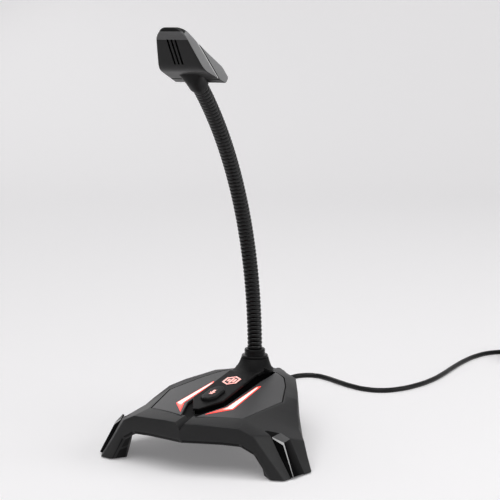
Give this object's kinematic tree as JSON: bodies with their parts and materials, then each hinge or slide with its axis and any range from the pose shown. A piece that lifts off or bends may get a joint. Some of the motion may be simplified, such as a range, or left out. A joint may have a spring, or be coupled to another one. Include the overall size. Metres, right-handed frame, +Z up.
{
  "type": "gooseneck desk microphone",
  "caption": "Desk microphone: paddle-shaped head on a bendable ribbed gooseneck, four-footed base with lit deck and mute button, and a USB cable.",
  "frame": {"origin": "on the desk, under the middle of the part's bounding box without the free cable; the neck's foot is 43 mm behind it", "axes": "+Z up, -Y towards the user, +X to the user's right-hand side of the base as seen from the front"},
  "size_m": [0.2456, 0.4026, 0.2643],
  "materials": {
    "black_plastic": "satin",
    "grey_plastic": "satin",
    "gloss_black": "gloss",
    "circuit_board": "satin",
    "light_guide": "gloss",
    "rubber": "matte",
    "steel": "brushed",
    "zinc_ballast": "matte",
    "neck_sleeve": "satin",
    "cable_jacket": "satin",
    "lead_jacket": "matte",
    "foam": "matte",
    "capsule_can": "satin"
  },
  "bodies": {
    "base": {"base_top_shell": "black_plastic", "base_bottom_plate": "black_plastic", "ballast_plate": "zinc_ballast", "main_board": "circuit_board", "right_panel": "grey_plastic", "left_panel": "grey_plastic", "right_light_guide": "light_guide", "left_light_guide": "light_guide", "right_led_board": "circuit_board", "left_led_board": "circuit_board", "right_leg_insert": "gloss_black", "left_leg_insert": "gloss_black", "console_cover": "grey_plastic", "console_frame": "gloss_black", "emblem_window": "light_guide", "tact_switch": "black_plastic", "neck_collar": "black_plastic", "neck_ferrule": "steel", "neck_nut": "steel", "neck_section_1": "neck_sleeve", "mic_lead_1": "lead_jacket", "base_screw_front_left": "steel", "base_screw_front_right": "steel", "base_screw_rear_left": "steel", "base_screw_rear_right": "steel", "rubber_foot_front_left": "rubber", "rubber_foot_front_right": "rubber", "rubber_foot_rear_left": "rubber", "rubber_foot_rear_right": "rubber", "cable_strain_relief": "rubber", "usb_cable": "cable_jacket", "cable_coil": "cable_jacket", "usb_cable_tail": "cable_jacket", "usb_plug_body": "rubber", "usb_plug_shell": "steel"},
    "neck_2": {"neck_section_2": "neck_sleeve", "mic_lead_2": "lead_jacket"},
    "neck_3": {"neck_section_3": "neck_sleeve", "mic_lead_3": "lead_jacket"},
    "neck_4": {"neck_section_4": "neck_sleeve", "mic_lead_4": "lead_jacket"},
    "neck_5": {"neck_section_5": "neck_sleeve", "mic_lead_5": "lead_jacket"},
    "neck_6": {"neck_section_6": "neck_sleeve", "mic_lead_6": "lead_jacket"},
    "neck_7": {"neck_section_7": "neck_sleeve", "mic_lead_7": "lead_jacket"},
    "head": {"neck_section_8": "neck_sleeve", "mic_lead_8": "lead_jacket", "head_front_shell": "grey_plastic", "head_rear_shell": "black_plastic", "mic_capsule": "capsule_can", "capsule_boot": "rubber", "acoustic_foam": "foam"},
    "mute": {"mute_button": "grey_plastic", "mute_lens": "light_guide"}
  },
  "joints": [
    {"name": "neck_bend_1", "type": "hinge", "parent": "base", "child": "neck_2", "pos_m": [0, 0.04124, 0.07842], "axis": [1, 0, 0], "range_deg": [-18, 18]},
    {"name": "neck_sway_1", "type": "hinge", "parent": "neck_2", "child": "neck_3", "pos_m": [0, 0.03674, 0.103], "axis": [0, 0.9725, 0.2328], "range_deg": [-15, 15]},
    {"name": "neck_bend_2", "type": "hinge", "parent": "neck_3", "child": "neck_4", "pos_m": [0, 0.02963, 0.12695], "axis": [1, 0, 0], "range_deg": [-18, 18]},
    {"name": "neck_sway_2", "type": "hinge", "parent": "neck_4", "child": "neck_5", "pos_m": [0, 0.01998, 0.15], "axis": [0, 0.9003, 0.4354], "range_deg": [-15, 15]},
    {"name": "neck_bend_3", "type": "hinge", "parent": "neck_5", "child": "neck_6", "pos_m": [0, 0.0079, 0.17188], "axis": [1, 0, 0], "range_deg": [-18, 18]},
    {"name": "neck_sway_3", "type": "hinge", "parent": "neck_6", "child": "neck_7", "pos_m": [0, -0.00645, 0.19233], "axis": [0, 0.7863, 0.6178], "range_deg": [-15, 15]},
    {"name": "neck_bend_4", "type": "hinge", "parent": "neck_7", "child": "head", "pos_m": [0, -0.02293, 0.21112], "axis": [1, 0, 0], "range_deg": [-18, 18]},
    {"name": "mute_press", "type": "slide", "parent": "base", "child": "mute", "axis": [0, 0, -1], "range_m": [0, 0.001], "stiffness_N_per_m": 1500, "springref_m": -0.0004}
  ],
  "couplings": [
    {"joint": "neck_bend_2", "follows": "neck_bend_1", "ratio": 1},
    {"joint": "neck_sway_2", "follows": "neck_sway_1", "ratio": 1},
    {"joint": "neck_bend_3", "follows": "neck_bend_1", "ratio": 1},
    {"joint": "neck_sway_3", "follows": "neck_sway_1", "ratio": 1},
    {"joint": "neck_bend_4", "follows": "neck_bend_1", "ratio": 1}
  ]
}
